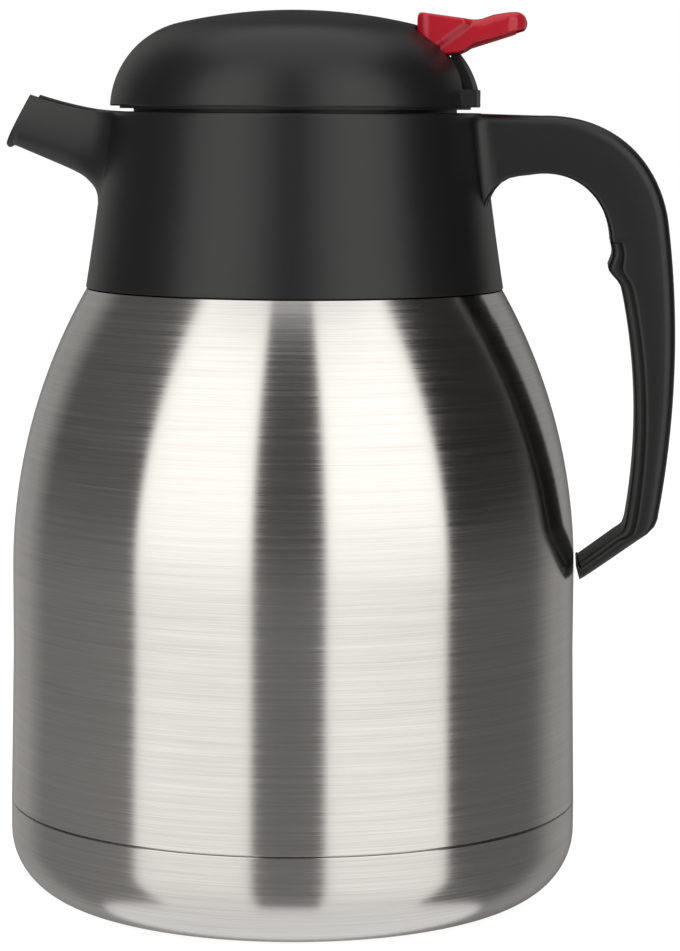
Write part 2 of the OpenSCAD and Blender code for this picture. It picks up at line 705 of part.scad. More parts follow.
// ---------------------------------------------------------------- lever
// Side outlines: the front block, and the thumb paddle behind it
block_pts = [[lever_front_x, 210.5], [lever_front_x, lever_top_z - 1.1], [lever_front_x + 0.3, lever_top_z - 0.3],
    [lever_front_x + 1.2, lever_top_z], [vee_x, vee_z], [35.4, 210.5]];
paddle_pts = [[34, 210.5], [36.2, 210.5], [36.2, 208.6], [40.5, 209.2], [42, 209.9], [44.5, 211.6], [lever_reach - 3, 214.2], [lever_reach - 0.6, 215.2],
    [lever_reach, 216.8], [lever_reach - 0.5, 218.8], [lever_reach - 1.8, lever_top_z + 0.1],
    [lever_reach - 4, lever_top_z + 0.1], [lever_reach - 8, lever_top_z - 0.6], [vee_x, vee_z], [34, 218.5]];

// Stiffening ribs under the paddle
rib_pts = [[41.5, 209.9], [lever_reach - 2.8, 213.9], [lever_reach - 2.8, lever_top_z - 1],
    [vee_x, vee_z - 1], [41.5, vee_z - 1]];

module across(w) {
    translate([0, w / 2, 0]) rotate([90, 0, 0]) linear_extrude(w) children();
}

module lever() {
    color("#c01020") difference() {
        union() {
            intersection() {
                difference() {
                    across(lever_w) polygon(block_pts);
                    across(lever_w - 2 * skin) translate([skin, -skin]) polygon(block_pts);
                }
                plan(lever_front_x, lever_reach, lever_w, 3);
            }
            intersection() {
                difference() {
                    across(paddle_w) polygon(paddle_pts);
                    across(paddle_w - 2 * skin) translate([-skin, -skin]) polygon(paddle_pts);
                }
                plan(34, lever_reach, paddle_w, 5);
            }
            for (s = [-1, 1]) scale([1, s, 1]) cheek();
        }
        translate([pivot_x, -20, pivot_z]) rotate([-90, 0, 0]) cylinder(r = pin_d / 2 + running_gap, h = 40, $fn = 48);
    }
}

// Plan outline with rounded corners, tall enough to cut the lever
module plan(x0, x1, w, r) {
    translate([0, 0, pivot_z - 10]) linear_extrude(40) {
        translate([x0, -w / 2 + r]) square([x1 - x0, w - 2 * r]);
        translate([x0 + r, -w / 2]) square([x1 - x0 - 2 * r, w]);
        for (x = [x0 + r, x1 - r], y = [-w / 2 + r, w / 2 - r]) translate([x, y]) circle(r, $fn = 48);
    }
}

// Cheek that hangs from the lever, turns on the pin and reaches under the stem cap
module cheek() {
    translate([0, cheek_out, 0]) rotate([90, 0, 0]) linear_extrude(cheek_out - cheek_in) {
        translate([pivot_x, pivot_z]) circle(hinge_hub_r);
        polygon([[pivot_x - hinge_hub_r + 1.7, pivot_z], [lever_front_x + 0.3, vee_z - 1], [pivot_x + 6, vee_z - 1],
            [pivot_x + hinge_hub_r, pivot_z]]);
        polygon(rib_pts);
    }
    translate([0, fork_out, 0]) rotate([90, 0, 0]) linear_extrude(fork_out - fork_in) {
        translate([0, tip_z]) circle(arm_r);
        polygon([[0, tip_z - arm_r], [pivot_x, pivot_z - hinge_hub_r + 0.2], [pivot_x, pivot_z + arm_r],
            [cap_r + 2, tip_z + arm_r], [0, tip_z + arm_r]]);
    }
}

module lever_pin() {
    color("silver") translate([pivot_x, -post_out, pivot_z]) rotate([-90, 0, 0])
        cylinder(r = pin_d / 2, h = 2 * post_out, $fn = 48);
}

outer_shell();
inner_liner();
vacuum_bottom();
getter();
vacuum_seal();
base_cover();
collar();
spout();
handle();
handle_cover();
neck_seal();
throat_ring();
lid_dome();
stopper_body();
stopper_gasket();
valve_seat();
valve_disc();
valve_seal();
valve_stem();
stem_cap();
stem_seal();
valve_spring();
lever();
lever_pin();
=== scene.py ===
import math

import bmesh
import bpy
from mathutils import Matrix, Vector


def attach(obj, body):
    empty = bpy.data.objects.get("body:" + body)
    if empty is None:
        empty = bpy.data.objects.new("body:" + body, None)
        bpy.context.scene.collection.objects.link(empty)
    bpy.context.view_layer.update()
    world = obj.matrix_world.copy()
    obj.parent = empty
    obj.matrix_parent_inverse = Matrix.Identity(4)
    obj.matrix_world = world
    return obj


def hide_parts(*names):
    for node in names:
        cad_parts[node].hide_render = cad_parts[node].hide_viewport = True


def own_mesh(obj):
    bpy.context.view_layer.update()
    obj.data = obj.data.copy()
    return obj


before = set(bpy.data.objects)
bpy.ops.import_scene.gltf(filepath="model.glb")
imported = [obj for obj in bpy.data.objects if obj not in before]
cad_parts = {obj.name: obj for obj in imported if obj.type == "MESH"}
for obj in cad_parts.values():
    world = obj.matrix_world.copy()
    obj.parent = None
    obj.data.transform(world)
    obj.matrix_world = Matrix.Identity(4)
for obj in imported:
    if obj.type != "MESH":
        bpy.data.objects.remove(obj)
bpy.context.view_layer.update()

MM = 0.001
ON_AXIS = 1e-6  # a radius below this is a point on the axis


def add_object(name, data):
    ob = bpy.data.objects.new(name, data)
    bpy.context.scene.collection.objects.link(ob)
    return ob


# ------------------------------------------------------------------ camera, solved from the photograph
CAM_AT = Vector((63.9, -789.2, 197.0)) * MM
CAM_LOOK = Vector((-0.0658, 0.9910, -0.1161)).normalized()
CAM_RIGHT = Vector((0.9978, 0.0663, 0)).normalized()
CAM_ROLL = math.radians(0.30)
LENS = 120.72


def make_camera():
    up = CAM_RIGHT.cross(CAM_LOOK).normalized()
    right = up.cross(-CAM_LOOK).normalized()
    x_axis = right * math.cos(CAM_ROLL) + up * math.sin(CAM_ROLL)
    y_axis = up * math.cos(CAM_ROLL) - right * math.sin(CAM_ROLL)
    data = bpy.data.cameras.new("camera")
    data.lens = LENS
    data.sensor_width = 36
    data.sensor_fit = "AUTO"
    data.clip_start = 0.01
    cam = add_object("camera", data)
    m = Matrix((x_axis, y_axis, -CAM_LOOK)).transposed().to_4x4()
    m.translation = CAM_AT
    cam.matrix_world = m
    bpy.context.scene.camera = cam


# ------------------------------------------------------------------ mesh helpers
def add_mesh(name, verts, faces, sharp):
    """A mesh object from points in millimetres, smooth except at edges over the sharp angle."""
    me = bpy.data.meshes.new(name)
    me.from_pydata([Vector(v) * MM for v in verts], [], faces)
    bm = bmesh.new()
    bm.from_mesh(me)
    bmesh.ops.remove_doubles(bm, verts=bm.verts, dist=1e-7)
    bmesh.ops.recalc_face_normals(bm, faces=bm.faces)
    mark_sharp(bm, sharp)
    bm.to_mesh(me)
    bm.free()
    return add_object(name, me)


def mark_sharp(bm, angle):
    limit = math.radians(angle)
    for f in bm.faces:
        f.smooth = True
    for e in bm.edges:
        e.smooth = len(e.link_faces) == 2 and e.calc_face_angle(0) < limit


def resharpen(ob, angle):
    bm = bmesh.new()
    bm.from_mesh(ob.data)
    mark_sharp(bm, angle)
    bm.to_mesh(ob.data)
    bm.free()


def revolve(name, profile, sharp, n=360):
    """A solid of revolution from a closed loop of (radius, height)."""
    verts, faces = [], []
    m = len(profile)
    for i in range(n):
        a = 2 * math.pi * i / n
        verts += [(r * math.cos(a), r * math.sin(a), z) for r, z in profile]
    for i in range(n):
        k = (i + 1) % n
        for j in range(m):
            q = (j + 1) % m
            if profile[j][0] < ON_AXIS and profile[q][0] < ON_AXIS:
                continue
            face = [i * m + j, k * m + j, k * m + q, i * m + q]
            if profile[j][0] < ON_AXIS:
                face = [i * m + j, k * m + q, i * m + q]
            elif profile[q][0] < ON_AXIS:
                face = [i * m + j, k * m + j, i * m + q]
            faces.append(face)
    return add_mesh(name, verts, faces, sharp)


def strips(rings):
    """The points of all rings, and the faces from each ring to the next."""
    n = len(rings[0])
    verts = [p for ring in rings for p in ring]
    faces = []
    for i in range(len(rings) - 1):
        for j in range(n):
            k = (j + 1) % n
            faces.append([i * n + j, i * n + k, (i + 1) * n + k, (i + 1) * n + j])
    return verts, faces


def loft(name, rings, sharp):
    """A closed solid through rings of points, with a strip across each end ring."""
    n = len(rings[0])
    verts, faces = strips(rings)
    for base in (0, (len(rings) - 1) * n):
        for k in range(n // 2 - 1):
            faces.append([base + k, base + k + 1, base + n - 2 - k, base + n - 1 - k])
    return add_mesh(name, verts, faces, sharp)


def prism(name, outline, axis, low, high):
    """Outline of (u, v) points drawn out along an axis: x gives (y, z), y gives (x, z), z gives (x, y)."""
    place = {"x": lambda u, v, w: (w, u, v),
             "y": lambda u, v, w: (u, w, v),
             "z": lambda u, v, w: (u, v, w)}[axis]
    m = len(outline)
    verts = [place(u, v, low) for u, v in outline] + [place(u, v, high) for u, v in outline]
    faces = [list(range(m)), list(range(2 * m - 1, m - 1, -1))]
    faces += [[j, (j + 1) % m, m + (j + 1) % m, m + j] for j in range(m)]
    return add_mesh(name, verts, faces, 35)


def cut(ob, tool, operation="DIFFERENCE"):
    """Applies an exact boolean with tool, then removes the tool."""
    mod = ob.modifiers.new("cut", "BOOLEAN")
    mod.operation = operation
    mod.solver = "EXACT"
    mod.object = tool
    dg = bpy.context.evaluated_depsgraph_get()
    me = bpy.data.meshes.new_from_object(ob.evaluated_get(dg))
    ob.modifiers.clear()
    ob.data = me
    bpy.data.objects.remove(tool)


def steps(a, b, n):
    return [a + (b - a) * i / n for i in range(n + 1)]


def mix(a, b, t):
    """The point a share t of the way from a to b."""
    return (a[0] + (b[0] - a[0]) * t, a[1] + (b[1] - a[1]) * t)


def run(a, b):
    """The distance from a to b, and the direction."""
    t = math.hypot(b[0] - a[0], b[1] - a[1])
    return t, ((b[0] - a[0]) / t, (b[1] - a[1]) / t)


def arc(cx, cz, r, a0, a1, n):
    """Points of an arc, angles in degrees."""
    return [(cx + r * math.cos(math.radians(a0 + (a1 - a0) * i / n)),
             cz + r * math.sin(math.radians(a0 + (a1 - a0) * i / n))) for i in range(n + 1)]


def rounded(points, radii, n):
    """The closed loop of points with each corner i replaced by an arc of radii[i]."""
    out = []
    m = len(points)
    for i, (p, r) in enumerate(zip(points, radii)):
        p = Vector(p)
        if r <= 0:
            out.append(tuple(p))
            continue
        a = (Vector(points[i - 1]) - p).normalized()
        b = (Vector(points[(i + 1) % m]) - p).normalized()
        half = math.acos(max(-1, min(1, a.dot(b)))) / 2
        back = r / math.tan(half)
        centre = p + (a + b).normalized() * (r / math.sin(half))
        start, end = p + a * back - centre, p + b * back - centre
        turn = math.atan2(start.x * end.y - start.y * end.x, start.dot(end))
        for k in range(n + 1):
            g = turn * k / n
            out.append((centre.x + start.x * math.cos(g) - start.y * math.sin(g),
                        centre.y + start.x * math.sin(g) + start.y * math.cos(g)))
    return out


def dress(ob, body, material, node):
    """A finished piece rides on its body and stands for its node of the solid model."""
    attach(ob, body)
    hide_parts(node)
    paint(ob, material)


def paint(ob, material):
    ob.data.materials.clear()
    ob.data.materials.append(material)
    for p in ob.data.polygons:
        p.material_index = 0


# ------------------------------------------------------------------ materials
class Nodes:
    """A short way to write a node tree: make a node, set its inputs, link outputs."""

    def __init__(self, tree):
        self.tree = tree
        tree.nodes.clear()

    def add(self, kind, inputs=None, **settings):
        node = self.tree.nodes.new(kind)
        for key, value in settings.items():
            setattr(node, key, value)
        for key, value in (inputs or {}).items():
            socket = node.inputs[key]
            if isinstance(value, bpy.types.NodeSocket):
                self.tree.links.new(value, socket)
            else:
                socket.default_value = value
        return node

    def math(self, op, a, b):
        return self.add("ShaderNodeMath", {0: a, 1: b}, operation=op).outputs[0]

    def ramp(self, factor, stops):
        node = self.add("ShaderNodeValToRGB", {0: factor})
        ramp = node.color_ramp
        while len(ramp.elements) < len(stops):
            ramp.elements.new(0.5)
        for element, (at, value) in zip(ramp.elements, stops):
            element.position = at
            element.color = (*value, 1) if isinstance(value, tuple) else (value, value, value, 1)
        return node.outputs[0]

    def noise(self, vector, scale, detail=2.0, rough=0.5):
        return self.add("ShaderNodeTexNoise", {"Vector": vector, "Scale": scale, "Detail": detail,
                                               "Roughness": rough}).outputs["Fac"]

    def scaled(self, vector, scale):
        return self.add("ShaderNodeMapping", {"Vector": vector, "Scale": scale}).outputs[0]


def new_material(name):
    mat = bpy.data.materials.new(name)
    mat.use_nodes = True
    nt = Nodes(mat.node_tree)
    place = nt.add("ShaderNodeTexCoord").outputs["Object"]
    shader = nt.add("ShaderNodeBsdfPrincipled")
    out = nt.add("ShaderNodeOutputMaterial", {"Surface": shader.outputs[0]})
    return mat, nt, place, shader, out


def link(nt, value, socket):
    nt.tree.links.new(value, socket)


def bump(nt, shader, height, strength, distance):
    node = nt.add("ShaderNodeBump", {"Height": height, "Strength": strength, "Distance": distance})
    link(nt, node.outputs[0], shader.inputs["Normal"])


def steel_material(name, roughness, dark):
    """Steel brushed around the axis: fine level scratches, warm grey, faint smudges."""
    mat, nt, place, shader, _ = new_material(name)
    fine = nt.noise(nt.scaled(place, (28, 28, 5200)), 1.0, 3.0, 0.6)
    broad = nt.noise(nt.scaled(place, (16, 16, 900)), 1.0, 2.0, 0.5)
    cloud = nt.noise(place, 22.0, 2.0, 0.5)
    grain = nt.math("ADD", nt.math("MULTIPLY", fine, 0.65), nt.math("MULTIPLY", broad, 0.35))
    tone = nt.math("ADD", nt.math("MULTIPLY", grain, 0.8), nt.math("MULTIPLY", cloud, 0.2))
    low = (0.50 * dark, 0.485 * dark, 0.465 * dark)
    high = (0.70 * dark, 0.685 * dark, 0.665 * dark)
    link(nt, nt.ramp(tone, [(0.3, low), (0.7, high)]), shader.inputs["Base Color"])
    link(nt, nt.ramp(grain, [(0.3, roughness - 0.05), (0.7, roughness + 0.06)]), shader.inputs["Roughness"])
    shader.inputs["Metallic"].default_value = 1.0
    shader.inputs["Anisotropic"].default_value = 0.85
    shader.inputs["Anisotropic Rotation"].default_value = 0.25
    tangent = nt.add("ShaderNodeTangent", direction_type="RADIAL", axis="Z").outputs[0]
    link(nt, tangent, shader.inputs["Tangent"])
    bump(nt, shader, grain, 0.05, 0.00004)
    return mat


def plastic_material(name, colour, roughness, grain=1.0, scale=2600.0, variation=0.12):
    """Moulded plastic: an even colour with slight clouds and a fine sparked grain."""
    mat, nt, place, shader, _ = new_material(name)
    cloud = nt.noise(place, 35.0, 3.0, 0.55)
    low = tuple(c * (1 - variation) for c in colour)
    high = tuple(c * (1 + variation) for c in colour)
    link(nt, nt.ramp(cloud, [(0.35, low), (0.65, high)]), shader.inputs["Base Color"])
    fine = nt.noise(place, scale, 2.0, 0.5)
    link(nt, nt.ramp(fine, [(0.3, roughness - 0.03), (0.7, roughness + 0.03)]), shader.inputs["Roughness"])
    shader.inputs["Specular IOR Level"].default_value = 0.5
    bump(nt, shader, fine, 0.25 * grain, 0.00006)
    return mat


def rubber_material(name, colour):
    """Soft rubber: matt, with a little light below its surface."""
    mat, nt, place, shader, _ = new_material(name)
    cloud = nt.noise(place, 120.0, 3.0, 0.5)
    low = tuple(c * 0.92 for c in colour)
    high = tuple(min(1, c * 1.06) for c in colour)
    link(nt, nt.ramp(cloud, [(0.3, low), (0.7, high)]), shader.inputs["Base Color"])
    shader.inputs["Roughness"].default_value = 0.55
    shader.inputs["Subsurface Weight"].default_value = 0.15
    shader.inputs["Subsurface Radius"].default_value = (0.002, 0.002, 0.002)
    bump(nt, shader, nt.noise(place, 1500.0, 2.0, 0.5), 0.2, 0.00005)
    return mat


def smooth_steel_material(name, colour, roughness):
    """Drawn or ground metal with fine marks and no brushing."""
    mat, nt, place, shader, _ = new_material(name)
    fine = nt.noise(nt.scaled(place, (400, 400, 2600)), 1.0, 2.0, 0.5)
    low = tuple(c * 0.85 for c in colour)
    link(nt, nt.ramp(fine, [(0.3, low), (0.7, colour)]), shader.inputs["Base Color"])
    link(nt, nt.ramp(fine, [(0.3, roughness - 0.05), (0.7, roughness + 0.08)]), shader.inputs["Roughness"])
    shader.inputs["Metallic"].default_value = 1.0
    bump(nt, shader, fine, 0.15, 0.00003)
    return mat


STEEL = steel_material("brushed_steel", 0.18, 1.0)
STEEL_BASE = steel_material("brushed_steel_base", 0.2, 0.97)
STEEL_INNER = smooth_steel_material("drawn_steel", (0.62, 0.61, 0.59), 0.32)
PIN_STEEL = smooth_steel_material("pin_steel", (0.6, 0.6, 0.59), 0.22)
GETTER = smooth_steel_material("getter_metal", (0.2, 0.2, 0.21), 0.6)
BLACK = plastic_material("black_shell", (0.004, 0.004, 0.0043), 0.37)
BLACK_RIB = plastic_material("black_rib", (0.004, 0.004, 0.0043), 0.38)
BLACK_LID = plastic_material("black_lid", (0.004, 0.004, 0.0043), 0.37)
BLACK_PART = plastic_material("black_part", (0.012, 0.012, 0.0125), 0.4, 0.6)
RED = plastic_material("lever_red", (0.44, 0.007, 0.019), 0.24, 0.12, 3200.0, 0.04)
SEAL = rubber_material("seal_rubber", (0.74, 0.74, 0.72))


# ------------------------------------------------------------------ floor, tent and lamps
FLOOR_SIZE = 12.0
FLOOR_GLOW = 0.86
AMBIENT = 0.55
LAMP_TARGET = Vector((0, 0, 0.11))
TENT_R = 1.5
TENT_LOW, TENT_HIGH = -1.6, 2.2
TENT_SIDES = 96
# Soft boxes around the object: from and to in degrees, level, half of the edge's width
BOXES = ((-158, -122, 0.16, 8.0), (-60, -11.5, 1.0, 1.2), (17, 67.5, 1.0, 1.2), (126, 160, 0.16, 8.0))
# Level of the dark cards between them, at angles in degrees
CARDS = ((-120, 0.11), (-70, 0.14), (-36, 0.14), (-34, 0.085), (40, 0.085), (42, 0.032), (110, 0.032), (126, 0.08))
# Brightness of the boxes, and light added to the cards, from the tent's foot (0) to its top (1)
BOX_RISE = [(0, 1.0), (0.26, 1.15), (0.37, 1.2), (0.45, 1.5), (0.5, 1.72), (0.75, 1.75), (1, 1.3)]
CARD_LIFT = [(0, 0.13), (0.37, 0.13), (0.45, 0.05), (0.5, 0.0)]


def make_floor():
    h = FLOOR_SIZE / 2
    me = bpy.data.meshes.new("floor")
    me.from_pydata([(-h, -h, 0), (h, -h, 0), (h, h, 0), (-h, h, 0)], [], [(0, 1, 2, 3)])
    ob = add_object("floor", me)
    ob.visible_glossy = False
    paint(ob, floor_material())


def floor_material():
    """Pale floor that keeps the object's shadow and meets the white background."""
    mat, nt, place, shader, out = new_material("floor")
    link(nt, nt.ramp(nt.noise(place, 3.0), [(0.3, 0.86), (0.7, 0.88)]), shader.inputs["Base Color"])
    shader.inputs["Roughness"].default_value = 0.8
    shader.inputs["Specular IOR Level"].default_value = 0.2
    seen = nt.add("ShaderNodeLightPath").outputs["Is Camera Ray"]
    grey = nt.add("ShaderNodeBsdfDiffuse", {"Color": (0.3, 0.3, 0.3, 1)})
    glow = nt.add("ShaderNodeEmission", {"Color": (1, 1, 1, 1), "Strength": FLOOR_GLOW})
    pale = nt.add("ShaderNodeAddShader", {0: grey.outputs[0], 1: glow.outputs[0]})
    both = nt.add("ShaderNodeMixShader", {0: seen, 1: shader.outputs[0], 2: pale.outputs[0]})
    link(nt, both.outputs[0], out.inputs["Surface"])
    mat.cycles.emission_sampling = "NONE"
    return mat


def tent_material():
    """The studio around the object as the steel mirrors it: soft boxes with dark cards between."""
    mat = bpy.data.materials.new("studio_tent")
    mat.use_nodes = True
    nt = Nodes(mat.node_tree)
    place = nt.add("ShaderNodeTexCoord").outputs["Object"]
    xyz = nt.add("ShaderNodeSeparateXYZ", {0: place})
    x, y, z = xyz.outputs
    turn = nt.math("ARCTAN2", x, nt.math("MULTIPLY", y, -1.0))
    along = nt.math("ADD", nt.math("DIVIDE", turn, 2 * math.pi), 0.5)
    stops = []
    for a0, a1, level, edge in BOXES:
        stops += [(a0 - edge, 0), (a0 + edge, level), (a1 - edge, level), (a1 + edge, 0)]
    lit = nt.ramp(along, [((a + 180) / 360, v) for a, v in stops])
    cards = nt.ramp(along, [((a + 180) / 360, v) for a, v in CARDS])
    height = nt.add("ShaderNodeMapRange", {0: z, 1: TENT_LOW, 2: TENT_HIGH}).outputs[0]
    bright = nt.ramp(height, BOX_RISE)
    lift = nt.ramp(height, CARD_LIFT)
    dim = nt.math("MULTIPLY", nt.math("SUBTRACT", 1.0, lit), nt.math("ADD", cards, lift))
    glow = nt.math("ADD", nt.math("MULTIPLY", lit, bright), dim)
    light = nt.add("ShaderNodeEmission", {"Color": (1.0, 0.985, 0.965, 1), "Strength": glow})
    nt.add("ShaderNodeOutputMaterial", {"Surface": light.outputs[0]})
    mat.cycles.emission_sampling = "NONE"
    return mat


def make_tent():
    n = TENT_SIDES
    verts, faces = [], []
    for i in range(n):
        a = 2 * math.pi * i / n
        verts += [(TENT_R * math.cos(a), TENT_R * math.sin(a), h) for h in (TENT_LOW, TENT_HIGH)]
        k = (i + 1) % n
        faces.append([2 * i, 2 * k, 2 * k + 1, 2 * i + 1])
    me = bpy.data.meshes.new("studio_tent")
    me.from_pydata(verts, [], faces)
    ob = add_object("studio_tent", me)
    me.materials.append(tent_material())
    ob.visible_camera = False
    ob.visible_diffuse = False
    ob.visible_transmission = False
    ob.visible_shadow = False
    ob.visible_volume_scatter = False


def area_lamp(name, at, size, size_y, power):
    data = bpy.data.lights.new(name, "AREA")
    data.shape = "RECTANGLE"
    data.size = size
    data.size_y = size_y
    data.energy = power
    ob = add_object(name, data)
    ob.location = at
    ob.rotation_mode = "QUATERNION"
    ob.rotation_quaternion = (LAMP_TARGET - Vector(at)).to_track_quat("-Z", "Y")
    ob.visible_camera = False
    ob.visible_glossy = False


def make_world():
    world = bpy.data.worlds.new("studio")
    bpy.context.scene.world = world
    world.use_nodes = True
    nt = Nodes(world.node_tree)
    path = nt.add("ShaderNodeLightPath")
    seen = nt.math("MAXIMUM", path.outputs["Is Camera Ray"],
                   nt.math("MAXIMUM", path.outputs["Is Glossy Ray"], path.outputs["Is Transmission Ray"]))
    level = nt.add("ShaderNodeMix", {0: seen, 2: AMBIENT, 3: 1.0}, data_type="FLOAT").outputs[0]
    back = nt.add("ShaderNodeBackground", {"Color": (1, 1, 1, 1), "Strength": level})
    nt.add("ShaderNodeOutputWorld", {"Surface": back.outputs[0]})


def make_stage():
    make_floor()
    make_tent()
    area_lamp("lamp_left", (-0.95, -1.0, 0.85), 0.7, 1.1, 9.0)
    area_lamp("lamp_right", (1.15, -0.8, 0.8), 0.6, 1.1, 6.0)
    area_lamp("lamp_top", (0.0, 0.2, 1.5), 1.0, 1.0, 6.0)
    make_world()
    bpy.context.scene.view_settings.view_transform = "Standard"


# ------------------------------------------------------------------ steel body, sizes in millimetres
BODY_R, FLARE, SEAM_Z, SHOULDER_Z, SHOULDER_R = 70.0, 0.7, 23.7, 81.6, 140.0
STEEL_T, CORNER_R, MOUTH_Z, NECK_R = 0.6, 16.5, 180.0, 34.0
FLARE_H = 20  # the flare ends this far below the shoulder's arc
NECK_STEP, NECK_H = 1.6, 8  # step of the steel under the collar, height of the straight neck
SEAM_GAP, SLEEVE_GAP = 0.2, 0.15
SLEEVE_LOW = CORNER_R - 1.5
COLLAR_LOW, COLLAR_TOP, COLLAR_R, COLLAR_SIDE_R = 151.5, 194.6, 46.0, 750.0
ARC_X = BODY_R - SHOULDER_R
FOOT_R = BODY_R + FLARE


def shoulder_at(z, off=0.0):
    """Radius of the shoulder at a height, a distance off inside its surface."""
    return ARC_X + math.sqrt((SHOULDER_R - off) ** 2 - (z - SHOULDER_Z) ** 2)


def make_body():
    """Flared side, shoulder arc, step under the collar and neck, with a turned-in lower edge."""
    low = SEAM_Z + SEAM_GAP
    flare_top = SHOULDER_Z - FLARE_H
    step_z = COLLAR_LOW - 0.3
    neck_z = MOUTH_Z - NECK_H
    sleeve_r = FOOT_R - STEEL_T - SLEEVE_GAP
    outer = [(sleeve_r, SLEEVE_LOW), (sleeve_r, low), (FOOT_R - 0.22, low)]
    outer += [(BODY_R + FLARE * (flare_top - z) / (flare_top - SEAM_Z), z) for z in steps(low + 0.25, flare_top, 4)]
    outer += [(shoulder_at(z), z) for z in steps(SHOULDER_Z, step_z, 40)]
    outer += [(shoulder_at(z, NECK_STEP), z) for z in steps(step_z, neck_z, 12)]
    outer += [(NECK_R, neck_z), (NECK_R, MOUTH_Z - 0.3), (NECK_R - 0.3, MOUTH_Z), (NECK_R - STEEL_T, MOUTH_Z)]
    inner = [(NECK_R - STEEL_T, neck_z - STEEL_T)]
    inner += [(shoulder_at(z, NECK_STEP + STEEL_T), z) for z in steps(neck_z - STEEL_T, step_z - STEEL_T, 12)]
    inner += [(shoulder_at(z, STEEL_T), z) for z in steps(step_z - STEEL_T, SHOULDER_Z, 30)]
    inner += [(sleeve_r - STEEL_T, flare_top), (sleeve_r - STEEL_T, SLEEVE_LOW)]
    dress(revolve("body_wall", outer + inner, 24), "carafe", STEEL, "outer_shell")


def make_base():
    """Deep drawn cup with a rounded foot and a rounded upper edge."""
    r = FOOT_R
    outer = [(0, 0), (r - CORNER_R, 0)] + arc(r - CORNER_R, CORNER_R, CORNER_R, -90, 0, 28)[1:]
    outer += [(r, SEAM_Z - 0.25), (r - 0.08, SEAM_Z - 0.08), (r - 0.25, SEAM_Z), (r - STEEL_T, SEAM_Z)]
    inner = [(r - STEEL_T, CORNER_R)] + arc(r - CORNER_R, CORNER_R, CORNER_R - STEEL_T, 0, -90, 20)[1:]
    inner.append((0, STEEL_T))
    dress(revolve("base_cup", outer + inner, 24), "carafe", STEEL_BASE, "base_cover")


# ------------------------------------------------------------------ collar's side, a long arc
COLLAR_LOW_R = shoulder_at(COLLAR_LOW) + 0.4
COLLAR_H, COLLAR_LEAN = COLLAR_TOP - COLLAR_LOW, COLLAR_LOW_R - COLLAR_R
COLLAR_CHORD = math.hypot(COLLAR_H, COLLAR_LEAN)
COLLAR_AWAY = math.sqrt(COLLAR_SIDE_R ** 2 - (COLLAR_CHORD / 2) ** 2)
COLLAR_CX = (COLLAR_LOW_R + COLLAR_R) / 2 + COLLAR_AWAY * COLLAR_H / COLLAR_CHORD
COLLAR_CZ = (COLLAR_LOW + COLLAR_TOP) / 2 + COLLAR_AWAY * COLLAR_LEAN / COLLAR_CHORD
ROOT_SINK = 0.1  # spout and handle start this far below the collar's top


def collar_at(z):
    """Radius of the collar's outer side at a height."""
    return COLLAR_CX - math.sqrt(COLLAR_SIDE_R ** 2 - (z - COLLAR_CZ) ** 2)


def fillet(x, r):
    """How far a blend of radius r still spreads at distance x from the wall."""
    return r - math.sqrt(r * r - (r - min(max(x, 0), r)) ** 2)


# ------------------------------------------------------------------ handle
REACH, GRIP_W, GRIP_DEPTH, CORNER_Z, RIB_OUT, WALL = 93.9, 24.0, 9.5, 94.4, 2.3, 2.2
GRIP_MID_Z, GRIP_CURVE = 137, 470  # height and bow of the back's line
FINGER_MID_Z, FINGER_CURVE = 119, 300  # height and bow of the finger side's line
STOP_Z, STOP_OUT, STOP_H = 157.0, 2.2, 2.6  # the finger stop
BEND_Z, FINGER_BEND_Z = 167.5, 163.5
ARM_END, ARM_INNER = (71.4, 80.7), (70.4, 84.3)
BEND_STEPS, GRIP_STEPS, ARM_STEPS = 30, 60, 8
# The root: distance from the collar, how far each ring follows the collar's round, and its lower line
ROOT_FILLET = 2.8
ROOT_X = (-0.6, 0.0, 0.05, 0.15, 0.3, 0.6, 1.0, 1.6, 2.6, 4.0, 6.4, 9.0)
ROOT_WRAP = (1, 1, 1, 1, 1, 0.98, 0.95, 0.86, 0.7, 0.46, 0.18, 0.05)
ROOT_LOWER = ((47.2, 168.0), (47.6, 168.1), (47.85, 168.4), (48.05, 168.9), (48.25, 169.8), (48.5, 171.2),
              (48.8, 172.6), (49.4, 174.3), (50.3, 176.1), (51.6, 177.8), (53.3, 179.0), (55.4, 179.5))
# The cover: its first and last ring, the gaps there, and how deep it sits in the channel
COVER_FROM = len(ROOT_X) + BEND_STEPS
COVER_START, COVER_END, COVER_START_GAP, COVER_END_GAP = 0.12, 0.55, 0.12, 0.1
COVER_TONGUE, COVER_SIDE_GAP = 0.75, 0.15
NO_CHANNEL = 1000  # a channel's floor past the ring's depth leaves the ring solid


def back_x(z):
    return REACH - (z - GRIP_MID_Z) ** 2 / GRIP_CURVE


def finger_line(z):
    return REACH - GRIP_DEPTH - (z - FINGER_MID_Z) ** 2 / FINGER_CURVE


def finger_side(z):
    return finger_line(z) - STOP_OUT * math.exp(-((z - STOP_Z) / STOP_H) ** 2)


def bezier(p, t):
    w = ((1 - t) ** 3, 3 * (1 - t) ** 2 * t, 3 * (1 - t) * t * t, t ** 3)
    return tuple(sum(w[i] * p[i][k] for i in range(4)) for k in (0, 1))


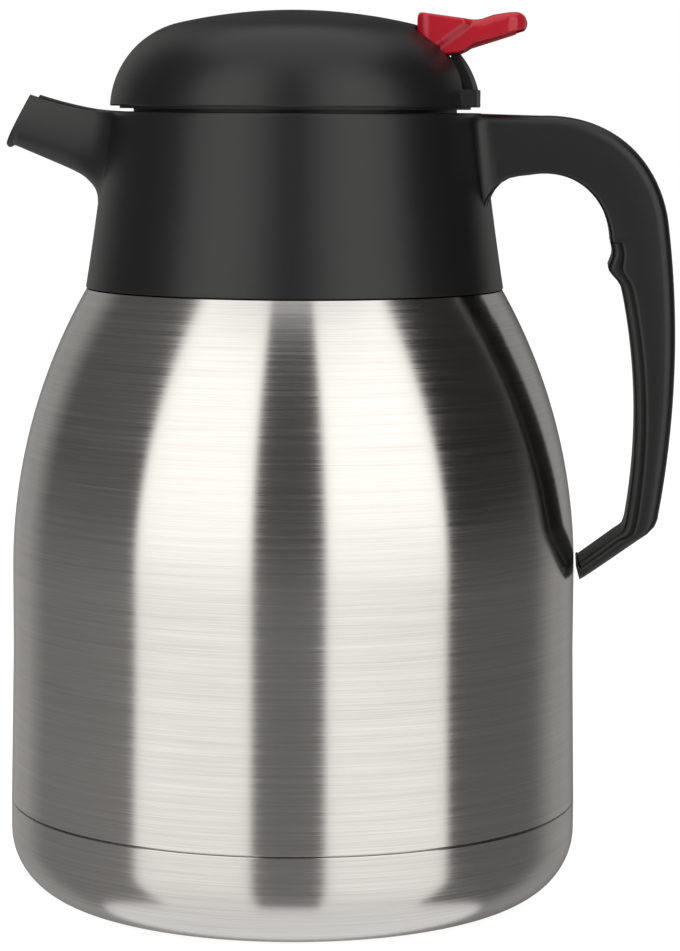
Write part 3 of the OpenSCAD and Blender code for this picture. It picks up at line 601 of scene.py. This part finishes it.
def outer_line():
    """The handle's back, from the collar round to the end of the lower arm."""
    root = [(COLLAR_R + x, COLLAR_TOP - ROOT_SINK - 0.03 * max(x, 0)) for x in ROOT_X]
    bend = [(60.3, COLLAR_TOP - 0.5), (81.5, COLLAR_TOP + 0.2), (REACH - 3.4, BEND_Z + 12.4), (back_x(BEND_Z), BEND_Z)]
    grip = [(back_x(z), z) for z in steps(BEND_Z, CORNER_Z + 2.4, GRIP_STEPS)[1:]]
    low = (back_x(CORNER_Z) - 2.2, CORNER_Z - 2.2)
    corner = [(back_x(CORNER_Z + 2), CORNER_Z + 1.6), (back_x(CORNER_Z) - 0.4, CORNER_Z - 0.3), low]
    arm = [mix(low, ARM_END, i / ARM_STEPS) for i in range(1, ARM_STEPS + 1)]
    return root + [bezier(bend, i / BEND_STEPS) for i in range(BEND_STEPS + 1)] + grip + corner + arm


def inner_line(off):
    """The handle's finger side, moved off towards its back."""
    x, z = finger_line(CORNER_Z - 1.4), CORNER_Z - 1.4
    bend = [(58, 179.8), (70.6, 182.1), (finger_line(FINGER_BEND_Z) - 0.4, FINGER_BEND_Z + 9.2),
            (finger_line(FINGER_BEND_Z), FINGER_BEND_Z)]
    out = [(p[0] + 0.4 * off, p[1] + 0.9 * off) for p in ROOT_LOWER]
    for i in range(BEND_STEPS + 1):
        g = math.radians(90 - 86 * i / BEND_STEPS)
        p = bezier(bend, i / BEND_STEPS)
        out.append((p[0] + off * math.cos(g), p[1] + off * math.sin(g)))
    for h in steps(FINGER_BEND_Z, z + 1.5, GRIP_STEPS)[1:]:
        side = 0.65 * finger_side(h) + 0.35 * finger_line(h) if off > 0 else finger_side(h)
        out.append((side + off, h))
    low = (x - 0.9, z - 0.7)
    out += [(x - 0.02 + off, z + 0.7 - 0.1 * off), (x - 0.3 + off * 0.9, z - 0.1 - 0.3 * off),
            (low[0] + 0.6 * off, low[1] - 0.5 * off)]
    arm = [mix(low, ARM_INNER, i / ARM_STEPS) for i in range(1, ARM_STEPS + 1)]
    return out + [(p[0] + 0.25 * off, p[1] - 0.4 * off) for p in arm]


def fall_back(z, y):
    """How far the collar's round side lies behind its middle line at a distance y."""
    r = collar_at(min(z, COLLAR_TOP))
    return r - math.sqrt(max(r * r - y * y, 1.0))


def channel_ring(a, b, w, inner, floor, n=5):
    """One ring of the handle: round-cornered back and an open channel towards the fingers."""
    t, u = run(a, b)
    lip, edge = min(1.1, t / 3), min(3.0, 0.45 * t)
    depth = floor if floor < t else t - 0.05
    pts = [(depth, -inner), (t - lip * 0.6, -inner)]
    pts += arc(t - lip, -w + lip, lip, 360, 270, n) + arc(edge, -w + edge, edge, 270, 180, n)
    pts += arc(edge, w - edge, edge, 180, 90, n) + arc(t - lip, w - lip, lip, 90, 0, n)
    pts += [(t - lip * 0.6, inner), (depth, inner)]
    return [(a[0] + u[0] * p, q, a[1] + u[1] * p) for p, q in pts]


def cover_ring(back, channel, front):
    """One ring of the cover: flat towards the channel, round-cornered towards the fingers."""
    half = GRIP_W / 2 - WALL - COVER_SIDE_GAP
    u = run(back, channel)[1]
    q = (channel[0] - COVER_TONGUE * u[0], channel[1] - COVER_TONGUE * u[1])
    t, v = run(q, front)
    r = min(1.7, t - 0.5)
    pts = [(0, -half), (0.4, -half)] + arc(t - r, -half + r, r, 270, 360, 6)
    pts += arc(t - r, half - r, r, 0, 90, 6) + [(0.4, half), (0, half)]
    return [(q[0] + v[0] * s, y, q[1] + v[1] * s) for s, y in pts]


def make_handle():
    back, full, opened = outer_line(), inner_line(0), inner_line(RIB_OUT)
    last = len(back) - 1

    def shell_line(p):
        ends = [mix(p[last - 1], p[last], t) for t in (COVER_END, COVER_END + COVER_END_GAP)]
        start = mix(p[COVER_FROM], p[COVER_FROM + 1], COVER_START)
        return p[:COVER_FROM + 1] + [start] + p[COVER_FROM + 1:last] + ends + [p[last]]

    def cover_line(p):
        start = mix(p[COVER_FROM], p[COVER_FROM + 1], COVER_START + COVER_START_GAP)
        return [start] + p[COVER_FROM + 1:last] + [mix(p[last - 1], p[last], COVER_END - COVER_END_GAP)]

    a_line, full_line, open_line = shell_line(back), shell_line(full), shell_line(opened)
    rings = []
    for i, a in enumerate(a_line):
        solid = i <= COVER_FROM or i >= len(a_line) - 2
        b = full_line[i] if solid else open_line[i]
        extra = fillet(ROOT_X[i], ROOT_FILLET) if i < len(ROOT_X) else 0
        w = ROOT_WRAP[i] if i < len(ROOT_X) else 0
        floor = NO_CHANNEL if solid else min(WALL, run(a, b)[0] - 1)
        ring = channel_ring(a, b, GRIP_W / 2 + extra, GRIP_W / 2 - WALL, floor)
        rings.append([(x - w * fall_back(z, y), y, z) for x, y, z in ring])
    dress(loft("handle_shell", rings, 40), "carafe", BLACK, "handle")

    rings = [cover_ring(*points) for points in zip(cover_line(back), cover_line(opened), cover_line(full))]
    dress(loft("grip_cover", rings, 40), "carafe", BLACK_RIB, "handle_cover")


# ------------------------------------------------------------------ spout
SPOUT_REACH, LIP_Z, SPOUT_TOP, MOUTH_W, ROOT_W, SPOUT_WALL = 71.6, 186.6, 198.7, 17.0, 27.0, 2.0
MOUTH_RUN, BEAD, ROOT_END = 7.0, 1.1, COLLAR_R + 4.5
SPOUT_SLOPE = 0.41
SPOUT_ROOT_X = (-0.6, 0.0, 0.06, 0.15, 0.3, 0.5, 0.8, 1.2, 1.8, 2.5, 3.4)
SPOUT_STEPS, TROUGH_STEPS = 30, 36
ROOT_LEAN = collar_at(173.5) - COLLAR_R


def spout_rim(d):
    low, high = COLLAR_R - 1.5, SPOUT_REACH - MOUTH_RUN
    share = max(min(d, high) - low, 0) / (high - low)
    return COLLAR_TOP - ROOT_SINK + (SPOUT_TOP - COLLAR_TOP) * share ** 1.6


def spout_slope(d):
    return LIP_Z - SPOUT_SLOPE * (SPOUT_REACH - 0.8 - d)


def spout_under(d):
    """The underside: the slope, with a blend into the collar and a bead under the lip."""
    x = d - COLLAR_R - ROOT_LEAN
    root = 4.5 * math.exp(-x / 1.7)
    edge = 1.5 * math.exp(-max(x, 0) / 0.3)
    return spout_slope(d) - root - edge - BEAD * math.exp(-((d - SPOUT_REACH + 0.5) / 0.8) ** 2)


def trough_point(half, top, low, i, n):
    c, s = math.cos(math.pi * i / n), math.sin(math.pi * i / n)
    y = half * math.copysign(abs(c) ** 0.75, c) if abs(c) > 1e-9 else 0.0
    return y, top - (top - low) * abs(s) ** 0.8


def make_spout():
    n = TROUGH_STEPS
    ds = [COLLAR_R + x for x in SPOUT_ROOT_X]
    ds += [ROOT_END + (SPOUT_REACH - ROOT_END) * (1 - (1 - i / SPOUT_STEPS) ** 1.6) for i in range(SPOUT_STEPS + 1)]
    rings = []
    for d in ds:
        half = MOUTH_W / 2 + (ROOT_W - MOUTH_W) / 2 * (SPOUT_REACH - d) / (SPOUT_REACH - COLLAR_R)
        half += 0.7 * fillet(d - COLLAR_R, 5.5)
        wrap = max(0, min(1, (ROOT_END - d) / (ROOT_END - COLLAR_R - 0.2)))
        slant = max(0, d - ROOT_END) / (SPOUT_REACH - ROOT_END)
        top = spout_rim(d - slant * MOUTH_RUN)
        low, floor = spout_under(d + wrap * ROOT_LEAN), spout_slope(d + wrap * ROOT_LEAN) + SPOUT_WALL
        outside = [trough_point(half, top - 0.5, low, i, n) for i in range(n + 1)]
        inside = [trough_point(half - SPOUT_WALL, top - 0.4, floor, i, n) for i in range(n, -1, -1)]
        crest = [(-(half - 0.35), top - 0.12), (-(half - 0.9), top), (-(half - SPOUT_WALL + 0.5), top)]
        ring = []
        for y, z in outside + crest + inside + [(-y, z) for y, z in reversed(crest)]:
            surface = math.sqrt(max(collar_at(min(z, COLLAR_TOP)) ** 2 - y * y, 1))
            ring.append((slant * MOUTH_RUN * (z - low) / (top - low) - d - wrap * (surface - COLLAR_R), y, z))
        rings.append(ring)
    verts, faces = strips(rings)
    for base in (0, (len(rings) - 1) * len(rings[0])):
        for j in range(n):
            faces.append([base + j, base + j + 1, base + 2 * n + 3 - j, base + 2 * n + 4 - j])
        faces.append([base + n + k for k in range(5)])
        faces.append([base] + [base + 2 * n + k for k in (4, 5, 6, 7)])
    dress(add_mesh("spout_trough", verts, faces, 40), "carafe", BLACK, "spout")


# ------------------------------------------------------------------ collar
COLLAR_WALL = 2.4
THROAT = ((40.7, COLLAR_TOP), (40.3, COLLAR_TOP - 0.4), (40.3, 189.6), (43, 189.6), (43, 176.6), (37.4, 176.6),
          (37.4, 174.2), (40, 174.2), (40, 168.5), (42, 168.5), (42, 174.2), (collar_at(174.2) - COLLAR_WALL, 174.2))


def make_collar():
    lip_r = shoulder_at(COLLAR_LOW) - NECK_STEP + 0.3
    outer = [(lip_r, COLLAR_LOW), (COLLAR_LOW_R - 0.3, COLLAR_LOW), (COLLAR_LOW_R - 0.08, COLLAR_LOW + 0.09)]
    outer += [(collar_at(z), z) for z in steps(COLLAR_LOW + 0.3, COLLAR_TOP - 0.5, 60)]
    outer += [(COLLAR_R - 0.12, COLLAR_TOP - 0.16), (COLLAR_R - 0.4, COLLAR_TOP)]
    inner = [(collar_at(z) - COLLAR_WALL, z) for z in steps(173, 155.5, 12)] + [(lip_r - 2.3, 155.5)]
    ob = revolve("neck_collar", outer + list(THROAT) + inner, 30)
    # The way through to the spout: a U-shaped window
    half = ROOT_W / 2 - SPOUT_WALL - 0.6
    centre = MOUTH_Z + half + 1
    outline = [(half, 215.0), (-half, 215.0)]
    outline += [(half * math.cos(a), centre + half * math.sin(a)) for a in [math.pi * (1 + i / 24) for i in range(25)]]
    cut(ob, prism("window", outline, "x", -52, -40))
    resharpen(ob, 30)
    dress(ob, "carafe", BLACK, "collar")


# ------------------------------------------------------------------ lid
DOME_R, DOME_TOP, DOME_RIM, DOME_EDGE, DOME_WALL = 45.65, 219.6, 196.0, 21.9, 2.2
MID_Z = DOME_RIM - 1
EDGE_X = DOME_R - DOME_EDGE
RISE = DOME_TOP - MID_Z
CAP_R = (EDGE_X ** 2 + RISE ** 2 - DOME_EDGE ** 2) / (2 * (RISE - DOME_EDGE))
CAP_Z = DOME_TOP - CAP_R
JOIN_A = math.degrees(math.atan2(MID_Z - CAP_Z, EDGE_X))
TAB_X, TAB_HALF, TAB_IN, SILL_Z = DOME_R - 0.5, 19, 43.5, 200.3
LEVER_W, LEVER_FRONT, PADDLE_W = 32.0, 30.5, 28.0


def dome_arc(off, low, bottom_round):
    """The dome's line from its rim to the axis, a distance off inside its surface."""
    pts = [(DOME_R - off - bottom_round * 0.7, low), (DOME_R - off, low + bottom_round)]
    start = math.degrees(math.asin(min(1, (low + bottom_round + 0.2 - MID_Z) / (DOME_EDGE - off))))
    pts += arc(EDGE_X, MID_Z, DOME_EDGE - off, start, JOIN_A, 40)
    pts += arc(0, CAP_Z, CAP_R - off, JOIN_A, 90, 24)[1:]
    return pts


def make_dome():
    outer = dome_arc(0, DOME_RIM, 0.35)
    inner = dome_arc(DOME_WALL, DOME_RIM, 0.2)[::-1]
    outer[-1], inner[0] = (0, DOME_TOP), (0, DOME_TOP - DOME_WALL)
    ob = revolve("dome_shell", outer + inner, 30)
    # The flat tab at the back, hollowed to the dome's inside
    block = [(DOME_R - 9, -TAB_HALF), (TAB_X, -TAB_HALF), (TAB_X, TAB_HALF), (DOME_R - 9, TAB_HALF)]
    tab = prism("tab", block, "z", DOME_RIM + 0.2, SILL_Z - 0.01)
    turns = [2 * math.pi * i / 120 for i in range(120)]
    core = [(TAB_IN * math.cos(a), TAB_IN * math.sin(a)) for a in turns]
    cut(tab, prism("core", core, "z", DOME_RIM - 2, DOME_RIM + 12))
    cut(ob, tab, "UNION")
    # The opening around the lever's block, and a slot on each side behind it
    half = LEVER_W / 2 + 0.4
    front = LEVER_FRONT - 0.6
    opening = rounded([(38.5, -half), (38.5, half), (front, half), (front, -half)], [0, 0, 3, 3], 6)
    cut(ob, prism("opening", opening, "z", DOME_RIM + 8, DOME_RIM + 48))
    for s in (-1, 1):
        outline = [(s * 8.8, SILL_Z), (s * 17, SILL_Z), (s * 14.7, SILL_Z + 7.7), (s * 14.7, 226), (s * 7.6, 226)]
        cut(ob, prism("slot", outline, "x", 36, 56))
    resharpen(ob, 30)
    dress(ob, "lid", BLACK_LID, "lid_dome")


# ------------------------------------------------------------------ lever
LEVER_END, LEVER_TOP, VEE_X = 56.8, 218.9, 44.5
VEE_Z = LEVER_TOP - 1.9
PIVOT_X, PIVOT_Z, HUB_R, ARM_R = 32.0, 206.2, 3.2, 1.8
FLANK = PADDLE_W / 2 + 0.4
TIP_R, LEVER_WALL = 5, 2.0
FRONT_R, TOP_R = 3, 1.3
# The crease from the block to the paddle: where it starts, and half of its soft width
SEAM_X, SEAM_Z0, SEAM_SOFT = 35.4, 210.5, 1.3
TOP_LINE = ((LEVER_FRONT, LEVER_TOP), (VEE_X - 1.6, VEE_Z + 0.22), (VEE_X - 0.6, VEE_Z + 0.12),
            (VEE_X + 0.4, VEE_Z + 0.14), (VEE_X + 1.6, VEE_Z + 0.32), (LEVER_END - 8, LEVER_TOP - 0.6),
            (LEVER_END - 4, LEVER_TOP + 0.02), (LEVER_END - 2.6, LEVER_TOP + 0.05))
LOW_LINE = ((LEVER_FRONT, 210.5), (36.1, 210.5), (36.3, 208.6), (40.5, 209.2), (42, 209.9), (44.5, 211.6),
            (LEVER_END - 3, 214.2), (LEVER_END - 1.5, 214.7))


def follow(points, x):
    for (x0, z0), (x1, z1) in zip(points, points[1:]):
        if x <= x1:
            return z0 + (z1 - z0) * (x - x0) / (x1 - x0)
    return points[-1][1]


def lever_top(x):
    z = follow(TOP_LINE, x)
    if x < LEVER_FRONT + TOP_R:
        z -= TOP_R - math.sqrt(max(0, TOP_R ** 2 - (LEVER_FRONT + TOP_R - x) ** 2))
    if x > LEVER_END - 2.6:
        z -= 2.2 * (1 - math.sqrt(max(0, 1 - ((x - LEVER_END + 2.6) / 2.6) ** 2)))
    return z


def lever_low(x):
    z = follow(LOW_LINE, x)
    if x > LEVER_END - 1.5:
        z += 2.1 * (1 - math.sqrt(max(0, 1 - ((x - LEVER_END + 1.5) / 1.5) ** 2)))
    return z


def block_half(x):
    """Half width of the front block, rounded at its front."""
    if x >= LEVER_FRONT + FRONT_R:
        return LEVER_W / 2
    return LEVER_W / 2 - (FRONT_R - math.sqrt(max(0, FRONT_R ** 2 - (LEVER_FRONT + FRONT_R - x) ** 2)))


def paddle_half(x):
    """Half width of the paddle, rounded at its end."""
    end = LEVER_END - TIP_R
    return FLANK - (TIP_R - math.sqrt(max(0, TIP_R ** 2 - (x - end) ** 2)) if x > end else 0)


def smooth(t):
    t = max(0.0, min(1.0, t))
    return t * t * (3 - 2 * t)


def lever_ring(x):
    """One ring of the lever: a top with rounded corners, flanks on both sides of the crease, hollow below."""
    top, low, wide, narrow = lever_top(x), lever_low(x), block_half(x), paddle_half(x)
    seam = SEAM_Z0 + (x - SEAM_X) * (VEE_Z - SEAM_Z0) / (VEE_X - SEAM_X)

    def side_at(z):
        return narrow + (wide - narrow) * smooth((z - seam + SEAM_SOFT) / (2 * SEAM_SOFT))

    r = min(0.9 + 2.3 * smooth((x - 40.5) / 6.5), (top - low) * 0.48)
    edge = side_at(top - r)
    right = [(0, top), (edge * 0.5, top)]
    for i in range(9):
        a = math.pi / 2 * i / 8
        right.append((edge - r + r * math.sin(a), top - r + r * math.cos(a)))
    right += [(side_at(z), z) for z in steps(top - r, low + 0.4, 12)[1:]]
    side = side_at(low + 0.35)
    inner = side - LEVER_WALL
    right += [(side, low + 0.35), (side - 0.35, low), (inner + 0.3, low)]
    if top - low < 3:
        right += [(inner, low), (inner, low), (inner - 1, low), (0, low)]
    else:
        roof = top - LEVER_WALL
        right += [(inner, low + 0.3), (inner, max(low + 0.4, roof - 1)), (inner - 1, max(low + 0.5, roof)),
                  (0, max(low + 0.5, roof))]
    return [(x, y, z) for y, z in right + [(-y, z) for y, z in reversed(right)][1:-1]]


def make_lever():
    xs = [LEVER_FRONT + FRONT_R * (1 - math.cos(math.pi / 2 * i / 10)) for i in range(11)]
    xs += steps(34, 46, 48) + steps(46.5, LEVER_END - 5.2, 14)
    xs += [LEVER_END - TIP_R + TIP_R * math.sin(math.pi / 2 * i / 18) for i in range(19)]
    verts, faces = strips([lever_ring(x) for x in xs])
    m = len(verts) // len(xs)
    faces += [list(range(m)), list(range((len(xs) - 1) * m, len(xs) * m))]
    shell = add_mesh("lever_thumb", verts, faces, 40)
    # Below it, on each side: a cheek down to the pin, an arm to the stem and a rib under the paddle
    tip_z = PIVOT_Z - PIVOT_X * math.sin(math.radians(3))
    cheek = [(PIVOT_X + 6, VEE_Z - 1), (LEVER_FRONT + 1, VEE_Z - 1)] + arc(PIVOT_X, PIVOT_Z, HUB_R, 165, 375, 14)
    arm = [(0, tip_z + ARM_R)] + arc(0, tip_z, ARM_R, 100, 270, 10)
    arm += [(PIVOT_X, PIVOT_Z - 3.0), (PIVOT_X, PIVOT_Z + ARM_R), (10, tip_z + ARM_R)]
    rib = [(41.5, 209.9), (LEVER_END - 2.8, 213.9), (LEVER_END - 2.8, LEVER_TOP - 1.5), (VEE_X, VEE_Z - 1),
           (41.5, VEE_Z - 1)]
    parts = [shell]
    for s in (-1, 1):
        parts.append(prism("cheek", cheek, "y", s * 4, s * 7.5))
        parts.append(prism("arm", arm, "y", s * 3.6, s * 6.4))
        parts.append(prism("rib", rib, "y", s * 4, s * 7.5))
    merged = bmesh.new()
    for part in parts:
        merged.from_mesh(part.data)
    bmesh.ops.recalc_face_normals(merged, faces=merged.faces)
    mark_sharp(merged, 38)
    merged.to_mesh(shell.data)
    merged.free()
    for part in parts[1:]:
        bpy.data.objects.remove(part)
    dress(shell, "lever", RED, "lever")


# ------------------------------------------------------------------ valve spring
COIL_R, WIRE_R, COIL_TURNS, COIL_LOW, COIL_HIGH = 8.0, 0.48, 6, 170.75, 187.25
COIL_STEPS, WIRE_SIDES = 48, 12


def make_coil():
    total = COIL_TURNS * COIL_STEPS
    rings = []
    for i in range(total + 1):
        g, z = 2 * math.pi * i / COIL_STEPS, COIL_LOW + (COIL_HIGH - COIL_LOW) * i / total
        wire = [2 * math.pi * j / WIRE_SIDES for j in range(WIRE_SIDES)]
        rings.append([((COIL_R + WIRE_R * math.cos(q)) * math.cos(g), -(COIL_R + WIRE_R * math.cos(q)) * math.sin(g),
                       z + WIRE_R * math.sin(q)) for q in wire])
    ob = loft("valve_coil", rings, 50)
    dress(ob, "lid", PIN_STEEL, "valve_spring")
    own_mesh(ob)


# ------------------------------------------------------------------ the object
make_body()
make_base()
make_handle()
make_spout()
make_collar()
make_dome()
make_lever()
make_coil()

NODE_LOOKS = {
    "outer_shell": STEEL, "base_cover": STEEL_BASE, "inner_liner": STEEL_INNER, "vacuum_bottom": STEEL_INNER,
    "getter": GETTER, "vacuum_seal": STEEL_INNER, "collar": BLACK, "spout": BLACK, "handle": BLACK,
    "handle_cover": BLACK, "neck_seal": SEAL, "throat_ring": BLACK_PART, "lid_dome": BLACK,
    "stopper_body": BLACK_PART, "stopper_gasket": SEAL, "valve_seat": BLACK_PART, "valve_disc": BLACK_PART,
    "valve_seal": SEAL, "valve_stem": PIN_STEEL, "stem_cap": BLACK_PART, "stem_seal": SEAL,
    "valve_spring": PIN_STEEL, "lever": RED, "lever_pin": PIN_STEEL,
}
for node_name, look in NODE_LOOKS.items():
    paint(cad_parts[node_name], look)

make_camera()
make_stage()
